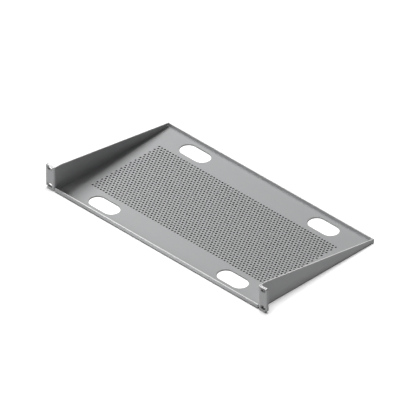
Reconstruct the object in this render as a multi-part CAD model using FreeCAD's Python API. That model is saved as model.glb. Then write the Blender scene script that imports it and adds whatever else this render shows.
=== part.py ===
import FreeCAD, Part

import math
import os

# A cantilever shelf for a 19 inch equipment rack, folded from one sheet of steel.
# Seen from the front, +X is right, +Y goes back into the rack and +Z is up.
# The origin is the centre of the footprint, on the plane of the shelf's underside.
# All sizes are millimetres.

Vector = FreeCAD.Vector

# Sheet and its folds
sheet = 2.0
bend_inner_radius = 1.0

# Gaps where two folds meet: beside the ear's strip, between the wall and the rear lip,
# and between the front lip's end and the ear
relief_slit = 0.8
corner_gap = 0.5
lip_end_gap = 1.0

# Tray
depth = 251.8
lip_height = 7.8
wall_rear_height = 7.8
wall_level_length = 15.0

# Rack ears, folded double so that they are twice as thick as the sheet
ear_span = 482.6
ear_projection = 16.8
ear_height = 44.4
hem_gap = 0.4
hem_foot_clearance = 4.8
hem_head_clearance = 1.0
hem_notch_width = 3.5
hem_head_notch_width = 2.0

# Screw slots in the ears, on the hole spacing of a 19 inch rack, which is 465.1 across
slot_edge_margin = 8.75
slot_spacing_z = 31.75
slot_length = 11.6
slot_height = 6.5
lower_slot_z = 8.2

# Four round-ended openings in the floor, for straps and hands
cutout_length = 59.0
cutout_width = 29.6
cutout_side_margin = 84.5
cutout_front_margin = 27.7
cutout_rear_margin = 25.6

# Staggered perforation of the floor
hole_pitch = 13.3
hole_flats = 6.9
hole_sides = 6
field_side_margin = 32.0
field_front_margin = 53.7
field_rear_margin = 51.7

# Worked out from the sizes above
bend_outer_radius = bend_inner_radius + sheet
relief_height = bend_outer_radius + sheet / 4
body_width = ear_span - 2 * ear_projection
half_width = body_width / 2
floor_half_width = half_width - bend_outer_radius
front_y = -depth / 2
rear_y = depth / 2
floor_front_y = front_y + bend_outer_radius
floor_rear_y = rear_y - bend_outer_radius
wall_tab_end_y = floor_front_y + sheet
wall_front_y = wall_tab_end_y + relief_slit
wall_fold_end_y = floor_rear_y - relief_slit
wall_rear_y = rear_y - sheet - corner_gap
ear_thickness = 2 * sheet + hem_gap
slot_x = ear_span / 2 - slot_edge_margin


def box(x_low, x_high, y_low, y_high, z_low, z_high):
    """A block between two corners."""
    size = Vector(x_high - x_low, y_high - y_low, z_high - z_low)
    return Part.makeBox(size.x, size.y, size.z, Vector(x_low, y_low, z_low))


def across(u, v):
    """A point of a section that is drawn in X and Z."""
    return Vector(u, 0, v)


def sideways(u, v):
    """A point of a section that is drawn in Y and Z."""
    return Vector(0, u, v)


def from_above(u, v):
    """A point of a section that is drawn in X and Y."""
    return Vector(u, v, 0)


def straight(start, end, place):
    """A list with the line between two points of a section, or empty where they meet."""
    if (end - start).Length < 1e-6:
        return []
    return [Part.makeLine(place(start.x, start.y), place(end.x, end.y))]


def edge_of_strip(corners, radii, offset, place):
    """One face of a folded strip: the middle line moved sideways, with its arcs."""
    edges = []
    lines = list(zip(corners, corners[1:]))
    directions = []
    for start, end in lines:
        directions.append((end - start).normalize())
    normals = [Vector(-d.y, d.x, 0) for d in directions]
    last = corners[0] + normals[0] * offset
    for index, radius in enumerate(radii):
        before = directions[index]
        after = directions[index + 1]
        corner = corners[index + 1]
        turn = before.getAngle(after)
        reach = radius * math.tan(turn / 2)
        arc_start = corner - before * reach + normals[index] * offset
        arc_end = corner + after * reach + normals[index + 1] * offset
        left_turn = before.cross(after).z > 0
        side = 1 if left_turn else -1
        centre = corner - before * reach + normals[index] * radius * side
        inward = (normals[index] + normals[index + 1]).normalize() * side
        arc_middle = centre - inward * (radius - offset * side)
        edges.extend(straight(last, arc_start, place))
        arc = Part.Arc(place(arc_start.x, arc_start.y), place(arc_middle.x, arc_middle.y),
                       place(arc_end.x, arc_end.y))
        edges.append(arc.toShape())
        last = arc_end
    edges.extend(straight(last, corners[-1] + normals[-1] * offset, place))
    return edges


def strip_section(middle_line, radii, place):
    """The section of a folded strip of sheet, from the corners of its middle line.

    radii holds the radius of the middle line at each fold.
    """
    corners = [Vector(u, v, 0) for u, v in middle_line]
    left = edge_of_strip(corners, radii, sheet / 2, place)
    right = edge_of_strip(corners, radii, -sheet / 2, place)
    start_cap = Part.makeLine(left[0].firstVertex().Point, right[0].firstVertex().Point)
    end_cap = Part.makeLine(left[-1].lastVertex().Point, right[-1].lastVertex().Point)
    wire = Part.Wire(Part.__sortEdges__(left + right + [start_cap, end_cap]))
    return Part.Face(wire)


def round_ended(length, width, centre_u, centre_v, place):
    """A closed wire with two straight sides and two half-round ends."""
    radius = width / 2
    reach = length / 2 - radius
    low_left = place(centre_u - reach, centre_v - radius)
    low_right = place(centre_u + reach, centre_v - radius)
    high_left = place(centre_u - reach, centre_v + radius)
    high_right = place(centre_u + reach, centre_v + radius)
    right_end = Part.Arc(low_right, place(centre_u + length / 2, centre_v), high_right)
    left_end = Part.Arc(high_left, place(centre_u - length / 2, centre_v), low_left)
    edges = [
        Part.makeLine(low_left, low_right),
        right_end.toShape(),
        Part.makeLine(high_right, high_left),
        left_end.toShape(),
    ]
    return Part.Wire(edges)


def perforation_wires():
    """The staggered holes of the floor, each a closed wire with flat sides."""
    field_width = body_width - 2 * field_side_margin
    field_depth = depth - field_front_margin - field_rear_margin
    gaps = max(1, round(field_width / hole_pitch))
    pitch = field_width / gaps
    row_step = pitch * math.sin(math.radians(60))
    rows = int(field_depth / row_step) + 1
    middle_y = (front_y + field_front_margin + rear_y - field_rear_margin) / 2
    corner_radius = hole_flats / 2 / math.cos(math.pi / hole_sides)
    wires = []
    for row in range(rows):
        y = middle_y + (row - (rows - 1) / 2) * row_step
        holes = gaps + 1 - row % 2
        for column in range(holes):
            x = (column - (holes - 1) / 2) * pitch
            points = []
            for side in range(hole_sides + 1):
                angle = math.radians(90) + 2 * math.pi * side / hole_sides
                points.append(Vector(x + corner_radius * math.cos(angle),
                                     y + corner_radius * math.sin(angle), 0))
            wires.append(Part.makePolygon(points))
    return wires


def floor():
    """The flat floor between the folds, with its openings and its perforation."""
    outline = Part.makePolygon([
        Vector(-floor_half_width, floor_front_y, 0),
        Vector(floor_half_width, floor_front_y, 0),
        Vector(floor_half_width, floor_rear_y, 0),
        Vector(-floor_half_width, floor_rear_y, 0),
        Vector(-floor_half_width, floor_front_y, 0),
    ])
    holes = perforation_wires()
    cutout_x = half_width - cutout_side_margin
    for x in (-cutout_x, cutout_x):
        for y in (front_y + cutout_front_margin, rear_y - cutout_rear_margin):
            holes.append(round_ended(cutout_length, cutout_width, x, y, from_above))
    # A hole's wire runs the other way round from the outline.
    face = Part.Face([outline] + [wire.reversed() for wire in holes])
    return face.extrude(Vector(0, 0, sheet))


def lip(y_outer, inward, half_length):
    """An upturned lip along the front or the rear edge, with its fold."""
    middle_y = y_outer + inward * sheet / 2
    section = strip_section(
        [(middle_y, lip_height),
         (middle_y, sheet / 2),
         (y_outer + inward * bend_outer_radius, sheet / 2)],
        [bend_inner_radius + sheet / 2], sideways)
    section.translate(Vector(-half_length, 0, 0))
    return section.extrude(Vector(2 * half_length, 0, 0))


def wall_profile():
    """The side view of the right wall: level beside the ear, then a straight taper.

    Above its fold it goes on at the rear, until it almost meets the lip.
    """
    level_end_y = front_y + wall_level_length
    points = [
        (wall_tab_end_y, 0),
        (wall_fold_end_y, 0),
        (wall_fold_end_y, relief_height),
        (wall_rear_y, relief_height),
        (wall_rear_y, wall_rear_height),
        (level_end_y, ear_height),
        (wall_tab_end_y, ear_height),
        (wall_tab_end_y, 0),
    ]
    wire = Part.makePolygon([sideways(y, z) for y, z in points])
    return Part.Face(wire).extrude(Vector(body_width, 0, 0))


def wall():
    """The right side wall with its fold to the floor and a relief slit near the ear."""
    middle_x = half_width - sheet / 2
    section = strip_section(
        [(floor_half_width, sheet / 2),
         (middle_x, sheet / 2),
         (middle_x, ear_height)],
        [bend_inner_radius + sheet / 2], across)
    section.translate(Vector(0, wall_tab_end_y, 0))
    strip = section.extrude(Vector(0, wall_rear_y - wall_tab_end_y, 0))
    slit = box(floor_half_width - sheet, half_width + sheet, wall_tab_end_y, wall_front_y,
               -sheet, relief_height)
    return strip.common(wall_profile()).cut(slit)


def ear():
    """The right rack ear: folded out from the wall and folded double at its outer edge."""
    wall_x = half_width - sheet / 2
    front_layer_y = front_y + sheet / 2
    back_layer_y = front_layer_y + sheet + hem_gap
    fold_x = ear_span / 2 - sheet / 2
    fold_radius = (sheet + hem_gap) / 2
    section = strip_section(
        [(wall_x, wall_tab_end_y),
         (wall_x, front_layer_y),
         (fold_x, front_layer_y),
         (fold_x, back_layer_y),
         (half_width + bend_inner_radius, back_layer_y)],
        [bend_inner_radius + sheet / 2, fold_radius, fold_radius], from_above)
    plate = section.extrude(Vector(0, 0, ear_height))
    outside_x = ear_span / 2
    back_of_ear = front_y + ear_thickness
    foot_notch = box(outside_x - hem_notch_width, outside_x + sheet, front_y - sheet,
                     back_of_ear + sheet, -sheet, hem_foot_clearance)
    head_notch = box(outside_x - hem_head_notch_width, outside_x + sheet, front_y - sheet,
                     back_of_ear + sheet, ear_height - hem_head_clearance, ear_height + sheet)
    plate = plate.cut(foot_notch).cut(head_notch)
    for z in (lower_slot_z, lower_slot_z + slot_spacing_z):
        wire = round_ended(slot_length, slot_height, slot_x, z, across)
        wire.translate(Vector(0, front_y - sheet, 0))
        slot = Part.Face(wire).extrude(Vector(0, ear_thickness + 2 * sheet, 0))
        plate = plate.cut(slot)
    return plate


def mirrored(shape):
    """The same shape on the left side."""
    return shape.mirror(Vector(0, 0, 0), Vector(1, 0, 0))


def shelf():
    """The whole folded shelf as one solid."""
    front_lip = lip(front_y, 1, half_width - sheet - lip_end_gap)
    rear_lip = lip(rear_y, -1, half_width)
    right_side = wall().fuse(ear())
    body = floor().multiFuse([front_lip, rear_lip, right_side, mirrored(right_side)])
    return body.removeSplitter()


os.makedirs("parts", exist_ok=True)
result = shelf()
solid = result.Solids[0]
solid.exportStep("parts/shelf.step")
print("solids", len(result.Solids), "valid", result.isValid())
print("volume cm3", round(solid.Volume / 1000, 1))
bounds = solid.BoundBox
print("size", round(bounds.XLength, 2), round(bounds.YLength, 2), round(bounds.ZLength, 2))
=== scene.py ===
"""A cantilever rack shelf, folded from one sheet of perforated, powder-coated steel."""

import logging
import math
from dataclasses import dataclass, field
from enum import Enum

import bmesh
import bpy
from mathutils import Matrix, Vector


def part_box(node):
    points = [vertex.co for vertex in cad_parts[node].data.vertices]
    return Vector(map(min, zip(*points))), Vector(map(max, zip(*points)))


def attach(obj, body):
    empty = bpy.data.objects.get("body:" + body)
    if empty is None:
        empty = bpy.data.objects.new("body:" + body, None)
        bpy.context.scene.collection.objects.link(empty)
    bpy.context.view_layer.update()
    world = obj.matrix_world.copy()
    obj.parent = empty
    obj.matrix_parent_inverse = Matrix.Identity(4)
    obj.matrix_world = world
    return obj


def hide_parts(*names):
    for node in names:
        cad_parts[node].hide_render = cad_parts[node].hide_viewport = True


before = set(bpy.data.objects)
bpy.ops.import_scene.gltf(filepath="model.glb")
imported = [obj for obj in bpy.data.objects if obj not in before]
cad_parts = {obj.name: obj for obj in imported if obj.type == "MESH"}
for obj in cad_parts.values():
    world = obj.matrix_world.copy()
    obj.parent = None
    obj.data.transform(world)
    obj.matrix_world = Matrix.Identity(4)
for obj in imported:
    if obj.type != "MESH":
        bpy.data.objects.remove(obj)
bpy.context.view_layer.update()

log = logging.getLogger("rack_shelf")

MM = 0.001
# Points nearer to each other than this, in millimetres, are one point of the sheet.
MERGE_MM = 0.01
# A Mix node's colours share their names with its other kinds of value, so they go by number.
MIX_COLOUR_A = 6
MIX_COLOUR_B = 7
MIX_COLOUR_RESULT = 2


class Surface(Enum):
    """The mesh's material slots. A rim takes the slot after that of its sheet."""

    COATED_FACE = 0
    PAINTED_HIGHLIGHT_EDGE = 1
    PERFORATED_FACE = 2
    PUNCHED_HOLE = 3
    OPENING_WALL = 4
    SHADED_GAP = 5
    EAR_TOP = 6


def linear(hex_colour: str) -> tuple[float, float, float, float]:
    """Turns an sRGB hex colour to linear.

    Args:
        hex_colour: Six hex digits, with or without a leading hash.

    Returns:
        Red, green, blue and an alpha of 1.
    """
    digits = hex_colour.lstrip("#")
    channels = []
    for start in (0, 2, 4):
        value = int(digits[start:start + 2], 16) / 255
        below = value <= 0.04045
        channels.append(value / 12.92 if below else ((value + 0.055) / 1.055) ** 2.4)
    return (channels[0], channels[1], channels[2], 1.0)


def add_node(
    tree: bpy.types.NodeTree,
    kind: str,
    settings: dict[str, object] | None = None,
    links: dict[str, bpy.types.NodeSocket] | None = None,
) -> bpy.types.Node:
    """Adds one node to a tree, with its settings and its incoming links.

    Args:
        tree: The node tree.
        kind: The node's type name.
        settings: Values by the name of an input socket or of a property.
        links: Output sockets by the name of the input that they feed.

    Returns:
        The new node.
    """
    node = tree.nodes.new(kind)
    for name, value in (settings or {}).items():
        if name in node.inputs:
            node.inputs[name].default_value = value
        else:
            setattr(node, name, value)
    for name, source in (links or {}).items():
        tree.links.new(source, node.inputs[name])
    return node


def new_material(name: str) -> tuple[bpy.types.Material, bpy.types.NodeTree]:
    """Makes an empty node material.

    Args:
        name: The material's name.

    Returns:
        The material and its node tree.
    """
    material = bpy.data.materials.new(name)
    material.use_nodes = True
    material.node_tree.nodes.clear()
    return material, material.node_tree


@dataclass(frozen=True)
class PowderCoat:
    """Steel with a sprayed and baked polyester powder coat.

    The powder melts into a closed film with a satin gloss and a fine orange peel, and the silver
    pigment in it gives a faint speckle of lighter and darker grains.
    """

    name: str
    colour_hex: str
    grain_hex: str
    roughness: float = 0.46
    roughness_spread: float = 0.05
    metallic: float = 0.0
    ior: float = 1.5
    # The real pigment grains are about 0.05 mm, too fine to show, so they are drawn at 0.5 mm.
    grain_mm: float = 0.5
    # The levels of the noise that have the darker and the lighter tone.
    grain_low: float = 0.36
    grain_high: float = 0.56
    # The waves of the film are 2 to 3 mm long.
    orange_peel_mm: float = 2.4
    orange_peel_depth_mm: float = 0.012

    def build(self) -> bpy.types.Material:
        """Builds the node material.

        Returns:
            The material.
        """
        material, tree = new_material(self.name)
        place = add_node(tree, "ShaderNodeTexCoord")
        point = place.outputs["Object"]
        grain = add_node(
            tree,
            "ShaderNodeTexNoise",
            {"Scale": 1 / (self.grain_mm * MM), "Detail": 2.0, "Roughness": 0.6},
            {"Vector": point},
        )
        peel = add_node(
            tree,
            "ShaderNodeTexNoise",
            {"Scale": 1 / (self.orange_peel_mm * MM), "Detail": 1.0, "Roughness": 0.4},
            {"Vector": point},
        )
        tint = add_node(tree, "ShaderNodeValToRGB", {}, {"Fac": grain.outputs["Fac"]})
        ramp = tint.color_ramp
        ramp.elements[0].position = self.grain_low
        ramp.elements[0].color = linear(self.grain_hex)
        ramp.elements[1].position = self.grain_high
        ramp.elements[1].color = linear(self.colour_hex)
        gloss = add_node(
            tree,
            "ShaderNodeMapRange",
            {
                "To Min": self.roughness - self.roughness_spread,
                "To Max": self.roughness + self.roughness_spread,
            },
            {"Value": grain.outputs["Fac"]},
        )
        bump = add_node(
            tree,
            "ShaderNodeBump",
            {"Strength": 1.0, "Distance": self.orange_peel_depth_mm * MM},
            {"Height": peel.outputs["Fac"]},
        )
        shader = add_node(
            tree,
            "ShaderNodeBsdfPrincipled",
            {"Metallic": self.metallic, "IOR": self.ior},
            {
                "Base Color": tint.outputs["Color"],
                "Roughness": gloss.outputs["Result"],
                "Normal": bump.outputs["Normal"],
            },
        )
        add_node(tree, "ShaderNodeOutputMaterial", {}, {"Surface": shader.outputs["BSDF"]})
        return material


# One powder coat covers the whole sheet. Its lighter and darker copies paint highlight and shade
# on its edges, holes and gaps.
COATS = {
    # The open faces are an even silver grey with a satin gloss.
    Surface.COATED_FACE: PowderCoat("silver_grey_powder_coat_sprayed", "#A6A7A8", "#9C9D9E"),
    # Up-facing sheared edges and the slots' side walls are painted near white: a painted
    # highlight that shows as a light line along each edge.
    Surface.PAINTED_HIGHLIGHT_EDGE: PowderCoat(
        "sheared_edge_painted_highlight", "#EAEAEA", "#E2E2E2", roughness=0.35
    ),
    # The walls of the openings are painted a shade darker than the faces: painted shade.
    Surface.OPENING_WALL: PowderCoat("cut_wall_painted_shade", "#969797", "#8C8D8D"),
    # The walls of the small holes are painted almost black: painted shade, where hardly any
    # light gets in.
    Surface.PUNCHED_HOLE: PowderCoat(
        "punched_holes_painted_shade", "#101010", "#0C0C0C", roughness=0.7
    ),
    # The lower screw slots, the hem's rims and the narrow gaps are painted a darker grey,
    # between the two: painted shade.
    Surface.SHADED_GAP: PowderCoat("slots_and_gaps_painted_shade", "#6A6B6B", "#636464"),
    # The ears' tops are painted white: a painted highlight.
    Surface.EAR_TOP: PowderCoat("ear_top_painted_highlight", "#FFFFFF", "#FAFAFA", roughness=0.3),
}


@dataclass(frozen=True)
class StudioGround:
    """Matt white paper under the shelf.

    It keeps the shadow, and the camera sees the rest as white. The colour the camera sees is
    painted darker as contact shade in the punched holes and beside standing edges.
    """

    name: str = "matt_white_studio_paper"
    colour_hex: str = "#B4B4B4"
    seen_hex: str = "#FFFFFF"
    seen_glow: float = 0.10
    # Within this distance of the shelf, the colour and glow that the camera sees are painted
    # darker: painted contact shade in a punched hole and right beside a standing edge.
    contact_shade_mm: float = 1.7
    shade_samples: int = 4

    def build(self) -> bpy.types.Material:
        """Builds the node material.

        Returns:
            The material.
        """
        material, tree = new_material(self.name)
        ray = add_node(tree, "ShaderNodeLightPath")
        seen = ray.outputs["Is Camera Ray"]
        for name in ("Is Glossy Ray", "Is Transmission Ray"):
            either = add_node(tree, "ShaderNodeMath", {"operation": "MAXIMUM"})
            tree.links.new(seen, either.inputs[0])
            tree.links.new(ray.outputs[name], either.inputs[1])
            seen = either.outputs[0]
        # Painted contact shade: an ambient occlusion node darkens the white that the camera
        # sees.
        shade = add_node(
            tree,
            "ShaderNodeAmbientOcclusion",
            {
                "samples": self.shade_samples,
                "Color": linear(self.seen_hex),
                "Distance": self.contact_shade_mm * MM,
            },
        )
        colour = add_node(tree, "ShaderNodeMix", {"data_type": "RGBA"})
        tree.links.new(seen, colour.inputs["Factor"])
        colour.inputs[MIX_COLOUR_A].default_value = linear(self.colour_hex)
        tree.links.new(shade.outputs["Color"], colour.inputs[MIX_COLOUR_B])
        glow_share_left_by_painted_shade = add_node(tree, "ShaderNodeMath", {"operation": "MULTIPLY"})
        tree.links.new(seen, glow_share_left_by_painted_shade.inputs[0])
        tree.links.new(shade.outputs["AO"], glow_share_left_by_painted_shade.inputs[1])
        glow = add_node(tree, "ShaderNodeMath", {"operation": "MULTIPLY"})
        tree.links.new(glow_share_left_by_painted_shade.outputs[0], glow.inputs[0])
        glow.inputs[1].default_value = self.seen_glow
        mixed = colour.outputs[MIX_COLOUR_RESULT]
        paper = add_node(tree, "ShaderNodeBsdfDiffuse", {}, {"Color": mixed})
        white = add_node(tree, "ShaderNodeEmission", {}, {"Strength": glow.outputs[0]})
        both = add_node(tree, "ShaderNodeAddShader")
        tree.links.new(paper.outputs[0], both.inputs[0])
        tree.links.new(white.outputs[0], both.inputs[1])
        add_node(tree, "ShaderNodeOutputMaterial", {}, {"Surface": both.outputs[0]})
        return material


@dataclass(frozen=True)
class SheetSteel:
    """The sheet and the way it is folded, in millimetres."""

    thickness: float = 2.0
    bend_inner_radius: float = 1.0
    relief_slit: float = 0.8
    corner_gap: float = 0.5
    lip_end_gap: float = 1.0
    fold_steps: int = 6
    edge_break: float = 0.2
    edge_break_steps: int = 2
    # Shorter edges, in the hem's small curves, are left without a bevel.
    shortest_broken_edge: float = 0.9

    @property
    def middle(self) -> float:
        """How far the middle of the sheet lies behind its face."""
        return self.thickness / 2

    @property
    def fold_radius(self) -> float:
        """The radius of the middle of the sheet in a fold."""
        return self.bend_inner_radius + self.middle

    @property
    def bend_outer_radius(self) -> float:
        """The outside radius of a fold."""
        return self.bend_inner_radius + self.thickness

    @property
    def relief_height(self) -> float:
        """How high a relief slit reaches, just above a fold."""
        return self.bend_outer_radius + self.thickness / 4


@dataclass(frozen=True)
class Outline:
    """The outside of the shelf, in millimetres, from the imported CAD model's box."""

    low: Vector
    high: Vector
    ear_projection: float = 16.8

    @property
    def half_width(self) -> float:
        """Half the width over the side walls."""
        return self.half_span - self.ear_projection

    @property
    def half_span(self) -> float:
        """Half the width over the ears."""
        return (self.high.x - self.low.x) / 2

    @property
    def height(self) -> float:
        """The height of the ears and of the walls' front ends."""
        return self.high.z - self.low.z


def line_of_points(bm: bmesh.types.BMesh, points: list[Vector]) -> list[bmesh.types.BMEdge]:
    """Draws an open line.

    Args:
        bm: The mesh to draw in.
        points: The line's points in order.

    Returns:
        The line's edges.
    """
    verts = [bm.verts.new(point) for point in points]
    return [bm.edges.new(pair) for pair in zip(verts, verts[1:])]


def closed_line(bm: bmesh.types.BMesh, points: list[Vector]) -> list[bmesh.types.BMEdge]:
    """Draws a closed line.

    Args:
        bm: The mesh to draw in.
        points: The line's points in order, with the first one given once.

    Returns:
        The line's edges.
    """
    verts = [bm.verts.new(point) for point in points]
    return [bm.edges.new(pair) for pair in zip(verts, verts[1:] + verts[:1])]


def round_ended(
    length: float, width: float, centre: Vector, across: Vector, steps: int
) -> list[Vector]:
    """The outline of an opening with two straight sides and half-round ends.

    Args:
        length: Its length along X.
        width: Its width along across.
        centre: Its middle.
        across: The unit direction of its width.
        steps: The number of straight pieces in each half-round end.

    Returns:
        The outline's points in order.
    """
    radius = width / 2
    reach = Vector((length / 2 - radius, 0, 0))
    along = Vector((1, 0, 0))
    points = []
    for end in (1, -1):
        for step in range(steps + 1):
            angle = math.pi * (step / steps - 0.5)
            turned = along * math.cos(angle) + across * math.sin(angle)
            points.append(centre + (reach + turned * radius) * end)
    return points


def fold(
    bm: bmesh.types.BMesh,
    edges: list[bmesh.types.BMEdge],
    centre: Vector,
    axis: Vector,
    degrees: float,
    steps: int,
) -> list[bmesh.types.BMEdge]:
    """Sweeps a line round an axis, as a fold in the sheet.

    Args:
        bm: The mesh.
        edges: The line to sweep.
        centre: A point on the axis.
        axis: The axis.
        degrees: The angle, positive by the right-hand rule.
        steps: The number of flat pieces in the fold.

    Returns:
        The swept line's last edges.
    """
    made = bmesh.ops.spin(
        bm,
        geom=edges,
        cent=centre,
        axis=axis,
        angle=math.radians(degrees),
        steps=steps,
        use_merge=False,
        use_duplicate=False,
    )
    return [item for item in made["geom_last"] if isinstance(item, bmesh.types.BMEdge)]


def pull(
    bm: bmesh.types.BMesh, edges: list[bmesh.types.BMEdge], way: Vector
) -> list[bmesh.types.BMEdge]:
    """Extrudes a line into a flat strip.

    Args:
        bm: The mesh.
        edges: The line.
        way: How far and where.

    Returns:
        The edges at the strip's far side.
    """
    made = bmesh.ops.extrude_edge_only(bm, edges=edges)["geom"]
    verts = [item for item in made if isinstance(item, bmesh.types.BMVert)]
    bmesh.ops.translate(bm, verts=verts, vec=way)
    return [item for item in made if isinstance(item, bmesh.types.BMEdge)]


@dataclass
class Perforation:
    """The staggered round holes of the floor, in millimetres."""

    # The photograph allows 3.3 to 3.8 mm, and this comes near to its tone.
    hole_diameter: float = 3.5
    half_width: float = 192.5
    gaps: int = 64
    rows: int = 29
    centre_y: float = 1.0
    hole_sides: int = 12
    # An edge nearer to a hole's centre than this share of the pitch is part of the hole.
    hole_edge_share: float = 0.45

    @property
    def pitch(self) -> float:
        """The spacing of the holes in a row."""
        return 2 * self.half_width / self.gaps

    @property
    def row_step(self) -> float:
        """The spacing of the rows of an even 60 degree stagger."""
        return self.pitch * math.sin(math.radians(60))

    def cell(self) -> bpy.types.Mesh:
        """One six-sided cell of the sheet with its round hole.

        Returns:
            The cell's mesh, round its hole's centre.
        """
        bm = bmesh.new()
        # A polygon of the round hole's own area shows as open as the hole.
        side_angle = 2 * math.pi / self.hole_sides
        radius = self.hole_diameter / 2 * math.sqrt(side_angle / math.sin(side_angle))
        bmesh.ops.create_circle(bm, segments=self.hole_sides, radius=radius)
        rim = bmesh.ops.create_circle(bm, segments=6, radius=self.pitch / math.sqrt(3))
        rim_edges = [edge for edge in bm.edges if edge.verts[0] in rim["verts"]]
        bmesh.ops.subdivide_edges(bm, edges=rim_edges, cuts=1)
        bmesh.ops.bridge_loops(bm, edges=bm.edges[:])
        mesh = bpy.data.meshes.new("cell")
        bm.to_mesh(mesh)
        bm.free()
        return mesh

    def row(self, cell: bpy.types.Mesh, holes: int) -> bpy.types.Mesh:
        """One row of cells, merged.

        Args:
            cell: The mesh of one cell.
            holes: The number of holes in the row.

        Returns:
            The row's mesh, round its middle.
        """
        bm = bmesh.new()
        step = Vector((self.pitch, 0, 0))
        cell.transform(Matrix.Translation(step * (-(holes - 1) / 2)))
        for _ in range(holes):
            bm.from_mesh(cell)
            cell.transform(Matrix.Translation(step))
        cell.transform(Matrix.Translation(step * (-(holes + 1) / 2)))
        bmesh.ops.remove_doubles(bm, verts=bm.verts[:], dist=MERGE_MM)
        mesh = bpy.data.meshes.new("row")
        bm.to_mesh(mesh)
        bm.free()
        return mesh

    def build(self, level: float) -> bmesh.types.BMesh:
        """The whole perforated field.

        Args:
            level: The height of the sheet's middle.

        Returns:
            A mesh with the cells' faces in the slot of the perforated face.
        """
        cell = self.cell()
        rows = [self.row(cell, self.gaps + 1), self.row(cell, self.gaps)]
        bm = bmesh.new()
        for index in range(self.rows):
            row = rows[index % 2]
            y = self.centre_y + (index - (self.rows - 1) / 2) * self.row_step
            row.transform(Matrix.Translation((0, y, level)))
            bm.from_mesh(row)
            row.transform(Matrix.Translation((0, -y, -level)))
        bmesh.ops.remove_doubles(bm, verts=bm.verts[:], dist=MERGE_MM)
        for face in bm.faces:
            face.material_index = Surface.PERFORATED_FACE.value
        for mesh in (cell, *rows):
            bpy.data.meshes.remove(mesh)
        return bm

    def is_rim(self, edge: bmesh.types.BMEdge) -> bool:
        """Tells whether an open edge is part of the field's outside and not of a hole.

        Args:
            edge: The open edge.

        Returns:
            True on the outside of the field.
        """
        middle = (edge.verts[0].co + edge.verts[1].co) / 2
        row = round((middle.y - self.centre_y) / self.row_step + (self.rows - 1) / 2)
        row = min(max(row, 0), self.rows - 1)
        reach = self.pitch * self.hole_edge_share
        for near in (row - 1, row, row + 1):
            if not 0 <= near < self.rows:
                continue
            y = self.centre_y + (near - (self.rows - 1) / 2) * self.row_step
            shift = self.pitch / 2 * ((self.gaps + near) % 2)
            column = round((middle.x - shift) / self.pitch)
            centre = Vector((column * self.pitch + shift, y, middle.z))
            if (middle - centre).length < reach:
                return False
        return True


@dataclass
class Floor:
    """The tray's floor with its perforation and four round-ended openings."""

    outline: Outline
    steel: SheetSteel
    perforation: Perforation = field(default_factory=Perforation)
    cutout_length: float = 59.0
    cutout_width: float = 29.6
    cutout_x: float = 140.0
    cutout_front_y: float = -98.2
    cutout_rear_y: float = 100.3
    cutout_steps: int = 16

    def build(self, side_stations: list[float]) -> bmesh.types.BMesh:
        """The middle surface of the floor.

        Args:
            side_stations: The places along Y where a side edge has a point, front to rear.

        Returns:
            The floor's mesh.
        """
        level = self.steel.middle
        bm = self.perforation.build(level)
        open_edges = [edge for edge in bm.edges if edge.is_boundary]
        loops = [edge for edge in open_edges if self.perforation.is_rim(edge)]
        side = self.outline.half_width - self.steel.bend_outer_radius
        right = [Vector((side, y, level)) for y in side_stations]
        left = [Vector((-side, y, level)) for y in reversed(side_stations)]
        loops += closed_line(bm, right + left)
        for x in (-self.cutout_x, self.cutout_x):
            for y in (self.cutout_front_y, self.cutout_rear_y):
                points = round_ended(
                    self.cutout_length,
                    self.cutout_width,
                    Vector((x, y, level)),
                    Vector((0, 1, 0)),
                    self.cutout_steps,
                )
                loops += closed_line(bm, points)
        bmesh.ops.triangle_fill(bm, use_beauty=True, use_dissolve=False, edges=loops)
        return bm


@dataclass
class Lip:
    """An upturned lip along the front or the rear of the floor."""

    outline: Outline
    steel: SheetSteel
    rear: bool
    overhang: float
    height: float = 7.8

    def build(self) -> bmesh.types.BMesh:
        """The middle surface of the lip and its fold.

        Returns:
            The lip's mesh.
        """
        bm = bmesh.new()
        way = 1 if self.rear else -1
        side = self.outline.half_width - self.steel.bend_outer_radius
        edge_y = self.outline.high.y if self.rear else self.outline.low.y
        start_y = edge_y - way * self.steel.bend_outer_radius
        level = self.steel.middle
        stations = sorted({-side - self.overhang, -side, side, side + self.overhang})
        line = line_of_points(bm, [Vector((x, start_y, level)) for x in stations])
        radius = self.steel.fold_radius
        centre = Vector((0, start_y, level + radius))
        line = fold(bm, line, centre, Vector((1, 0, 0)), 90 * way, self.steel.fold_steps)
        pull(bm, line, Vector((0, 0, self.height - level - radius)))
        return bm


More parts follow.
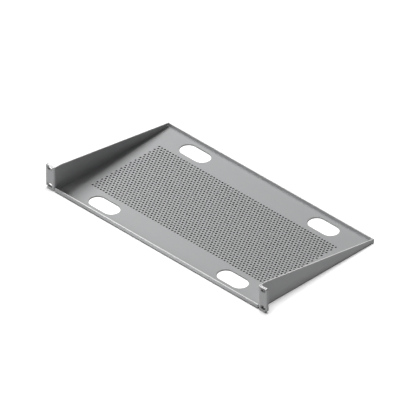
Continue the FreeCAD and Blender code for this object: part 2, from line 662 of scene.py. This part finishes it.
@dataclass
class SideWall:
    """The right side wall, level beside the ear and then tapering to the rear."""

    outline: Outline
    steel: SheetSteel
    level_length: float = 15.0
    rear_height: float = 7.8

    @property
    def tab_end_y(self) -> float:
        """Where the ear's strip ends beside the relief slit."""
        return self.outline.low.y + self.steel.bend_outer_radius + self.steel.thickness

    @property
    def front_y(self) -> float:
        """Where the wall's own fold begins behind the relief slit."""
        return self.tab_end_y + self.steel.relief_slit

    @property
    def level_end_y(self) -> float:
        """Where the taper begins."""
        return self.outline.low.y + self.level_length

    @property
    def fold_end_y(self) -> float:
        """The rear end of the wall's fold, a slit short of the rear lip's fold."""
        return self.outline.high.y - self.steel.bend_outer_radius - self.steel.relief_slit

    @property
    def rear_y(self) -> float:
        """The rear end of the wall above its fold, just short of the rear lip."""
        return self.outline.high.y - self.steel.thickness - self.steel.corner_gap

    def top(self, y: float) -> float:
        """The height of the wall at a place along Y."""
        share = (y - self.level_end_y) / (self.rear_y - self.level_end_y)
        return self.outline.height + (self.rear_height - self.outline.height) * max(share, 0)

    def build(self) -> bmesh.types.BMesh:
        """The middle surface of the wall and its fold.

        Returns:
            The wall's mesh.
        """
        bm = bmesh.new()
        side = self.outline.half_width - self.steel.bend_outer_radius
        level = self.steel.middle
        radius = self.steel.fold_radius
        relief = self.steel.relief_height
        stations = [self.front_y, self.level_end_y, self.fold_end_y]
        line = line_of_points(bm, [Vector((side, y, level)) for y in stations])
        centre = Vector((side, 0, level + radius))
        line = fold(bm, line, centre, Vector((0, 1, 0)), -90, self.steel.fold_steps)
        pull(bm, line, Vector((0, 0, relief - level - radius)))
        stations.append(self.rear_y)
        line = line_of_points(bm, [Vector((side + radius, y, relief)) for y in stations])
        line = pull(bm, line, Vector((0, 0, 1)))
        for vert in {vert for edge in line for vert in edge.verts}:
            vert.co.z = self.top(vert.co.y)
        return bm


@dataclass
class RackEar:
    """The right rack ear: folded out from the wall, and folded double at its outer edge."""

    outline: Outline
    steel: SheetSteel
    wall: SideWall
    hem_gap: float = 0.4
    hem_steps: int = 8
    hem_squareness: float = 5.0
    # Points further from the hem's middle than this share of its outside are left alone.
    hem_press_share: float = 1.2
    foot_clearance: float = 4.8
    foot_notch: float = 3.5
    head_clearance: float = 1.0
    slot_x: float = 232.55
    slot_length: float = 11.6
    slot_height: float = 6.5
    slot_levels: tuple[float, float] = (8.2, 39.95)
    slot_steps: int = 10

    @property
    def hem_radius(self) -> float:
        """The radius of the middle of the sheet in the hem."""
        return (self.steel.thickness + self.hem_gap) / 2

    @property
    def hem_x(self) -> float:
        """Where the hem's fold begins, so that its corners end at the span."""
        corner = self.steel.middle / math.cos(math.pi / (2 * self.hem_steps))
        return self.outline.half_span - self.hem_radius - corner

    def press_hem(self, mesh: bpy.types.Mesh) -> None:
        """Presses the hem's round outside towards a square edge, as the photograph shows it.

        Args:
            mesh: The finished sheet, in metres.
        """
        power = self.hem_squareness
        reach = self.hem_radius + self.steel.middle
        furthest = self.hem_press_share * reach
        middle_y = self.outline.low.y + reach
        for vert in mesh.vertices:
            dx = abs(vert.co.x) / MM - self.hem_x
            dy = vert.co.y / MM - middle_y
            distance = math.hypot(dx, dy)
            if dx <= 0 or not self.hem_radius < distance < furthest:
                continue
            spread = (abs(dx) ** power + abs(dy) ** power) ** (1 / power)
            share = (distance - self.hem_radius) / self.steel.middle
            scale = 1 + share * (distance / spread - 1)
            dx = min(dx * scale, self.outline.half_span - self.hem_x)
            dy = max(-reach, min(dy * scale, reach))
            vert.co.x = math.copysign((self.hem_x + dx) * MM, vert.co.x)
            vert.co.y = (middle_y + dy) * MM

    def in_slot(self, x: float, z: float) -> bool:
        """Tells whether a place on an ear lies in one of its slots or on the slot's edge.

        Args:
            x: The place across, in millimetres.
            z: The place's height, in millimetres.

        Returns:
            True in a slot.
        """
        near = abs(abs(x) - self.slot_x) < self.slot_length / 2 + self.steel.edge_break
        reach = self.slot_height / 2 + self.steel.edge_break
        return near and min(abs(z - level) for level in self.slot_levels) < reach

    def layer(self, bm: bmesh.types.BMesh, y: float, stations: list[float]) -> None:
        """One flat layer of the ear with its two slots.

        Args:
            bm: The mesh to add to.
            y: The place of the layer's middle.
            stations: The heights where the layer's inner edge has a point, from the bottom.
        """
        inner_x = self.outline.half_width + self.steel.bend_inner_radius
        notch_x = self.outline.half_span - self.foot_notch
        high = self.outline.height
        points = [Vector((inner_x, y, z)) for z in reversed(stations)]
        points += [
            Vector((notch_x, y, 0)),
            Vector((notch_x, y, self.foot_clearance)),
            Vector((self.hem_x, y, self.foot_clearance)),
            Vector((self.hem_x, y, high - self.head_clearance)),
            Vector((self.hem_x, y, high)),
        ]
        loops = closed_line(bm, points)
        for z in self.slot_levels:
            slot = round_ended(
                self.slot_length,
                self.slot_height,
                Vector((self.slot_x, y, z)),
                Vector((0, 0, 1)),
                self.slot_steps,
            )
            loops += closed_line(bm, slot)
        bmesh.ops.triangle_fill(bm, use_beauty=True, use_dissolve=False, edges=loops)

    def build(self) -> bmesh.types.BMesh:
        """The middle surface of the ear, from the wall's front end to the end of its hem.

        Returns:
            The ear's mesh.
        """
        bm = bmesh.new()
        steel = self.steel
        high = self.outline.height
        wall_x = self.outline.half_width - steel.middle
        front_y = self.outline.low.y + steel.middle
        radius = steel.fold_radius
        relief = steel.relief_height
        joint = line_of_points(
            bm, [Vector((wall_x, self.wall.front_y, z)) for z in (relief, high)]
        )
        pull(bm, joint, Vector((0, -steel.relief_slit, 0)))
        stations = [0.0, relief, high]
        line = line_of_points(
            bm, [Vector((wall_x, self.wall.tab_end_y, z)) for z in stations]
        )
        line = pull(bm, line, Vector((0, front_y + radius - self.wall.tab_end_y, 0)))
        upright = Vector((0, 0, 1))
        centre = Vector((wall_x + radius, front_y + radius, 0))
        fold(bm, line, centre, upright, 90, steel.fold_steps)
        self.layer(bm, front_y, stations)
        hem_heights = (self.foot_clearance, high - self.head_clearance)
        hem = line_of_points(bm, [Vector((self.hem_x, front_y, z)) for z in hem_heights])
        centre = Vector((self.hem_x, front_y + self.hem_radius, 0))
        fold(bm, hem, centre, upright, 180, self.hem_steps)
        self.layer(bm, front_y + 2 * self.hem_radius, [0.0, high])
        return bm


@dataclass
class RackShelf:
    """The whole shelf, one sheet of steel folded at its four sides."""

    outline: Outline
    steel: SheetSteel = field(default_factory=SheetSteel)
    # A rim's normal that points up, or sideways in a slot, by more than this faces that way, and
    # gets a painted highlight.
    faces_up: float = 0.5
    faces_sideways: float = 0.6
    sharp_degrees: float = 50.0

    @property
    def wall(self) -> SideWall:
        """The right side wall."""
        return SideWall(self.outline, self.steel)

    @property
    def ear(self) -> RackEar:
        """The right rack ear."""
        return RackEar(self.outline, self.steel, self.wall)

    def side_stations(self) -> list[float]:
        """Lists the places along Y where the floor's side edge has a point.

        Returns:
            The places from the front to the rear.
        """
        radius = self.steel.bend_outer_radius
        return [
            self.outline.low.y + radius,
            self.wall.front_y,
            self.wall.level_end_y,
            self.wall.fold_end_y,
            self.outline.high.y - radius,
        ]

    def middle_surface(self) -> bpy.types.Mesh:
        """The middle surface of the folded sheet, in metres.

        Returns:
            The mesh, with its open outer edges marked for a small bevel.
        """
        steel = self.steel
        front_overhang = steel.bend_outer_radius - steel.thickness - steel.lip_end_gap
        lips = [
            Lip(self.outline, steel, rear=False, overhang=front_overhang),
            Lip(self.outline, steel, rear=True, overhang=steel.bend_outer_radius),
        ]
        bm = Floor(self.outline, steel).build(self.side_stations())
        self.join(bm, [lip.build() for lip in lips])
        sides = bmesh.new()
        self.join(sides, [self.wall.build(), self.ear.build()])
        geometry = sides.verts[:] + sides.edges[:] + sides.faces[:]
        bmesh.ops.mirror(sides, geom=geometry, matrix=Matrix.Identity(4), axis="X")
        self.join(bm, [sides])
        bmesh.ops.remove_doubles(bm, verts=bm.verts[:], dist=MERGE_MM)
        bmesh.ops.recalc_face_normals(bm, faces=bm.faces[:])
        self.mark_edges(bm)
        bmesh.ops.scale(bm, vec=Vector((MM, MM, MM)), verts=bm.verts[:])
        mesh = bpy.data.meshes.new("shelf_middle_surface")
        bm.to_mesh(mesh)
        bm.free()
        return mesh

    def join(self, bm: bmesh.types.BMesh, parts: list[bmesh.types.BMesh]) -> None:
        """Copies other meshes into one, and frees them.

        Args:
            bm: The mesh that receives them.
            parts: The meshes to copy.
        """
        for part in parts:
            mesh = bpy.data.meshes.new("part_of_sheet")
            part.to_mesh(mesh)
            part.free()
            bm.from_mesh(mesh)
            bpy.data.meshes.remove(mesh)

    def mark_edges(self, bm: bmesh.types.BMesh) -> None:
        """Marks the sheared edges for a bevel and the punched holes' edges as sharp.

        Args:
            bm: The middle surface, in millimetres.
        """
        weight = bm.edges.layers.float.new("bevel_weight_edge")
        for edge in bm.edges:
            if not edge.is_boundary:
                continue
            surface = edge.link_faces[0].material_index
            punched = surface == Surface.PERFORATED_FACE.value
            if punched or edge.calc_length() < self.steel.shortest_broken_edge:
                edge.smooth = False
            else:
                edge[weight] = 1.0
        for face in bm.faces:
            face.smooth = True

    def build(self, finishes: dict[Surface, bpy.types.Material]) -> bpy.types.Object:
        """The finished shelf.

        Args:
            finishes: The material of each slot.

        Returns:
            The shelf's object.
        """
        mesh = self.middle_surface()
        for surface in Surface:
            mesh.materials.append(finishes[surface])
        piece = bpy.data.objects.new("perforated_shelf_sheet", mesh)
        bpy.context.scene.collection.objects.link(piece)
        wall = piece.modifiers.new("sheet_thickness", "SOLIDIFY")
        wall.thickness = self.steel.thickness * MM
        wall.offset = 0.0
        wall.use_even_offset = True
        wall.material_offset_rim = 1
        bevel = piece.modifiers.new("broken_edges", "BEVEL")
        bevel.width = self.steel.edge_break * MM
        bevel.segments = self.steel.edge_break_steps
        bevel.limit_method = "WEIGHT"
        bevel.use_clamp_overlap = False
        self.settle(piece)
        return piece

    def rim_surface(self, ear: RackEar, place: Vector, normal: Vector) -> Surface:
        """The look of one face of the sheet's rim.

        Args:
            ear: The ear, which tells where its slots and its hem are.
            place: The face's middle, in millimetres.
            normal: The face's normal.

        Returns:
            The surface that it belongs to.
        """
        steel = self.steel
        lip_end = self.outline.half_width - steel.bend_outer_radius
        at_lip = place.y < self.outline.low.y + steel.bend_outer_radius
        at_lip_end = at_lip and abs(abs(place.x) - lip_end) < steel.edge_break
        # Painted light on the rim: up-facing edges and the slots' side walls get a painted
        # highlight, and the ears' tops a white one. The lower slots, the hem and the lip's ends
        # get a darker painted shade. All other rims get the lighter painted shade of the opening
        # walls.
        if ear.in_slot(place.x, place.z):
            if abs(normal.x) > self.faces_sideways:
                return Surface.PAINTED_HIGHLIGHT_EDGE
            lower = place.z < self.outline.height / 2
            return Surface.SHADED_GAP if lower else Surface.OPENING_WALL
        if abs(place.x) > ear.hem_x or at_lip_end:
            return Surface.SHADED_GAP
        above_floor = place.z > 2 * steel.thickness
        if normal.z > self.faces_up and above_floor:
            on_ear = abs(place.x) > self.outline.half_width
            return Surface.EAR_TOP if on_ear else Surface.PAINTED_HIGHLIGHT_EDGE
        return Surface.OPENING_WALL

    def settle(self, piece: bpy.types.Object) -> None:
        """Applies the modifiers, sorts the rim's faces into painted highlight and shade, and
        gives flat faces true normals.

        Args:
            piece: The object.
        """
        graph = bpy.context.evaluated_depsgraph_get()
        done = bpy.data.meshes.new_from_object(piece.evaluated_get(graph))
        piece.modifiers.clear()
        piece.data = done
        done.name = piece.name
        ear = self.ear
        for face in done.polygons:
            if face.material_index == Surface.PAINTED_HIGHLIGHT_EDGE.value:
                place = face.center / MM
                face.material_index = self.rim_surface(ear, place, face.normal).value
        ear.press_hem(done)
        done.set_sharp_from_angle(angle=math.radians(self.sharp_degrees))
        normals = piece.modifiers.new("flat_faces_stay_flat", "WEIGHTED_NORMAL")
        normals.keep_sharp = True


@dataclass(frozen=True)
class SoftBox:
    """A square soft box that looks at the shelf's middle and lights one object alone."""

    name: str
    place: tuple[float, float, float]
    side: float
    watts: float

    def build(self, lit: bpy.types.Object) -> bpy.types.Object:
        """Hangs the lamp.

        Args:
            lit: The only object that it lights.

        Returns:
            The lamp's object.
        """
        data = bpy.data.lights.new(self.name, "AREA")
        data.shape = "SQUARE"
        data.size = self.side
        data.energy = self.watts
        lamp = bpy.data.objects.new(self.name, data)
        lamp.location = self.place
        lamp.rotation_euler = (-Vector(self.place)).to_track_quat("-Z", "Y").to_euler()
        bpy.context.scene.collection.objects.link(lamp)
        receivers = bpy.data.collections.new(self.name + "_receivers")
        receivers.objects.link(lit)
        lamp.light_linking.receiver_collection = receivers
        return lamp


@dataclass(frozen=True)
class StripLight(SoftBox):
    """A low strip light close before the front lip, which brightens the lip's middle."""

    height: float = 0.006
    spread_degrees: float = 50.0

    def build(self, lit: bpy.types.Object) -> bpy.types.Object:
        """Sets the strip light, level and facing the lip.

        Args:
            lit: The only object that it lights.

        Returns:
            The lamp's object.
        """
        strip = super().build(lit)
        strip.data.shape = "RECTANGLE"
        strip.data.size_y = self.height
        strip.data.spread = math.radians(self.spread_degrees)
        strip.rotation_euler = (math.radians(90), 0, 0)
        strip.visible_camera = False
        return strip


@dataclass
class Studio:
    """The ground, the lamps and the camera. Its lengths are metres unless they say otherwise."""

    shelf_lamps: tuple[SoftBox, ...] = (
        SoftBox("key_soft_box", (-2.2, 0.5, 2.4), 2.0, 132.0),
        SoftBox("front_soft_box", (-0.8, -3.0, 1.2), 2.0, 44.0),
        SoftBox("side_soft_box", (3.0, -0.3, 0.55), 1.5, 8.0),
        StripLight("front_strip", (0.02, -0.30, 0.003), 0.29, 0.022),
    )
    ground_lamp: SoftBox = SoftBox("ground_soft_box", (-0.3, 0.15, 2.4), 2.2, 92.0)
    surrounding_light: float = 0.05
    ground_reach: float = 30.0
    image_pixels: float = 420.0
    pixels_per_mm: float = 0.6474
    azimuth: float = 44.955
    elevation: float = 34.947
    camera_distance: float = 27.0
    camera_range: float = 200.0
    aim_mm: Vector = field(default_factory=lambda: Vector((0.0, -5.4, 10.0)))
    aim_right_mm: float = -1.50
    aim_up_mm: float = 5.03

    def ground(self) -> bpy.types.Object:
        """The ground under the shelf.

        Returns:
            The ground's object.
        """
        bm = bmesh.new()
        bmesh.ops.create_grid(bm, x_segments=1, y_segments=1, size=self.ground_reach)
        mesh = bpy.data.meshes.new("studio_ground")
        bm.to_mesh(mesh)
        bm.free()
        mesh.materials.append(StudioGround().build())
        piece = bpy.data.objects.new("studio_ground", mesh)
        bpy.context.scene.collection.objects.link(piece)
        return piece

    def world(self) -> None:
        """Sets a plain, dim surrounding, which the camera sees as white."""
        world = bpy.data.worlds.new("white_studio")
        world.use_nodes = True
        tree = world.node_tree
        tree.nodes.clear()
        ray = add_node(tree, "ShaderNodeLightPath")
        level = add_node(
            tree,
            "ShaderNodeMapRange",
            {"To Min": self.surrounding_light, "To Max": 1.0},
            {"Value": ray.outputs["Is Camera Ray"]},
        )
        sky = add_node(
            tree,
            "ShaderNodeBackground",
            {"Color": (1, 1, 1, 1)},
            {"Strength": level.outputs["Result"]},
        )
        add_node(tree, "ShaderNodeOutputWorld", {}, {"Surface": sky.outputs[0]})
        bpy.context.scene.world = world

    def camera(self) -> None:
        """Sets the camera, far off with a long lens as in the photograph."""
        azimuth = math.radians(self.azimuth)
        elevation = math.radians(self.elevation)
        back = Vector((
            math.sin(azimuth) * math.cos(elevation),
            -math.cos(azimuth) * math.cos(elevation),
            math.sin(elevation),
        ))
        turn = back.to_track_quat("Z", "Y")
        right = turn @ Vector((1, 0, 0))
        up = turn @ Vector((0, 1, 0))
        aim = (self.aim_mm + right * self.aim_right_mm + up * self.aim_up_mm) * MM
        data = bpy.data.cameras.new("camera")
        seen = self.image_pixels / self.pixels_per_mm * MM
        data.lens = data.sensor_width * self.camera_distance / seen
        data.clip_end = self.camera_range
        camera = bpy.data.objects.new("camera", data)
        camera.location = aim + back * self.camera_distance
        camera.rotation_euler = turn.to_euler()
        bpy.context.scene.collection.objects.link(camera)
        bpy.context.scene.camera = camera

    def build(self, shelf: bpy.types.Object) -> None:
        """Sets the whole studio.

        Args:
            shelf: The object on show.
        """
        ground = self.ground()
        self.world()
        for lamp in self.shelf_lamps:
            lamp.build(shelf)
        self.ground_lamp.build(ground)
        self.camera()


def main() -> None:
    """Builds the shelf and the studio round it."""
    logging.basicConfig(level=logging.INFO)
    bpy.context.scene.view_settings.view_transform = "Standard"
    low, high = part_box("shelf")
    outline = Outline(low / MM, high / MM)
    finishes = {surface: coat.build() for surface, coat in COATS.items()}
    finishes[Surface.PERFORATED_FACE] = finishes[Surface.COATED_FACE]
    shelf = RackShelf(outline).build(finishes)
    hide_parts("shelf")
    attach(shelf, "root")
    triangles = sum(len(face.vertices) - 2 for face in shelf.data.polygons)
    log.info("%s: %d triangles", shelf.name, triangles)
    Studio().build(shelf)


if __name__ == "__main__":
    main()
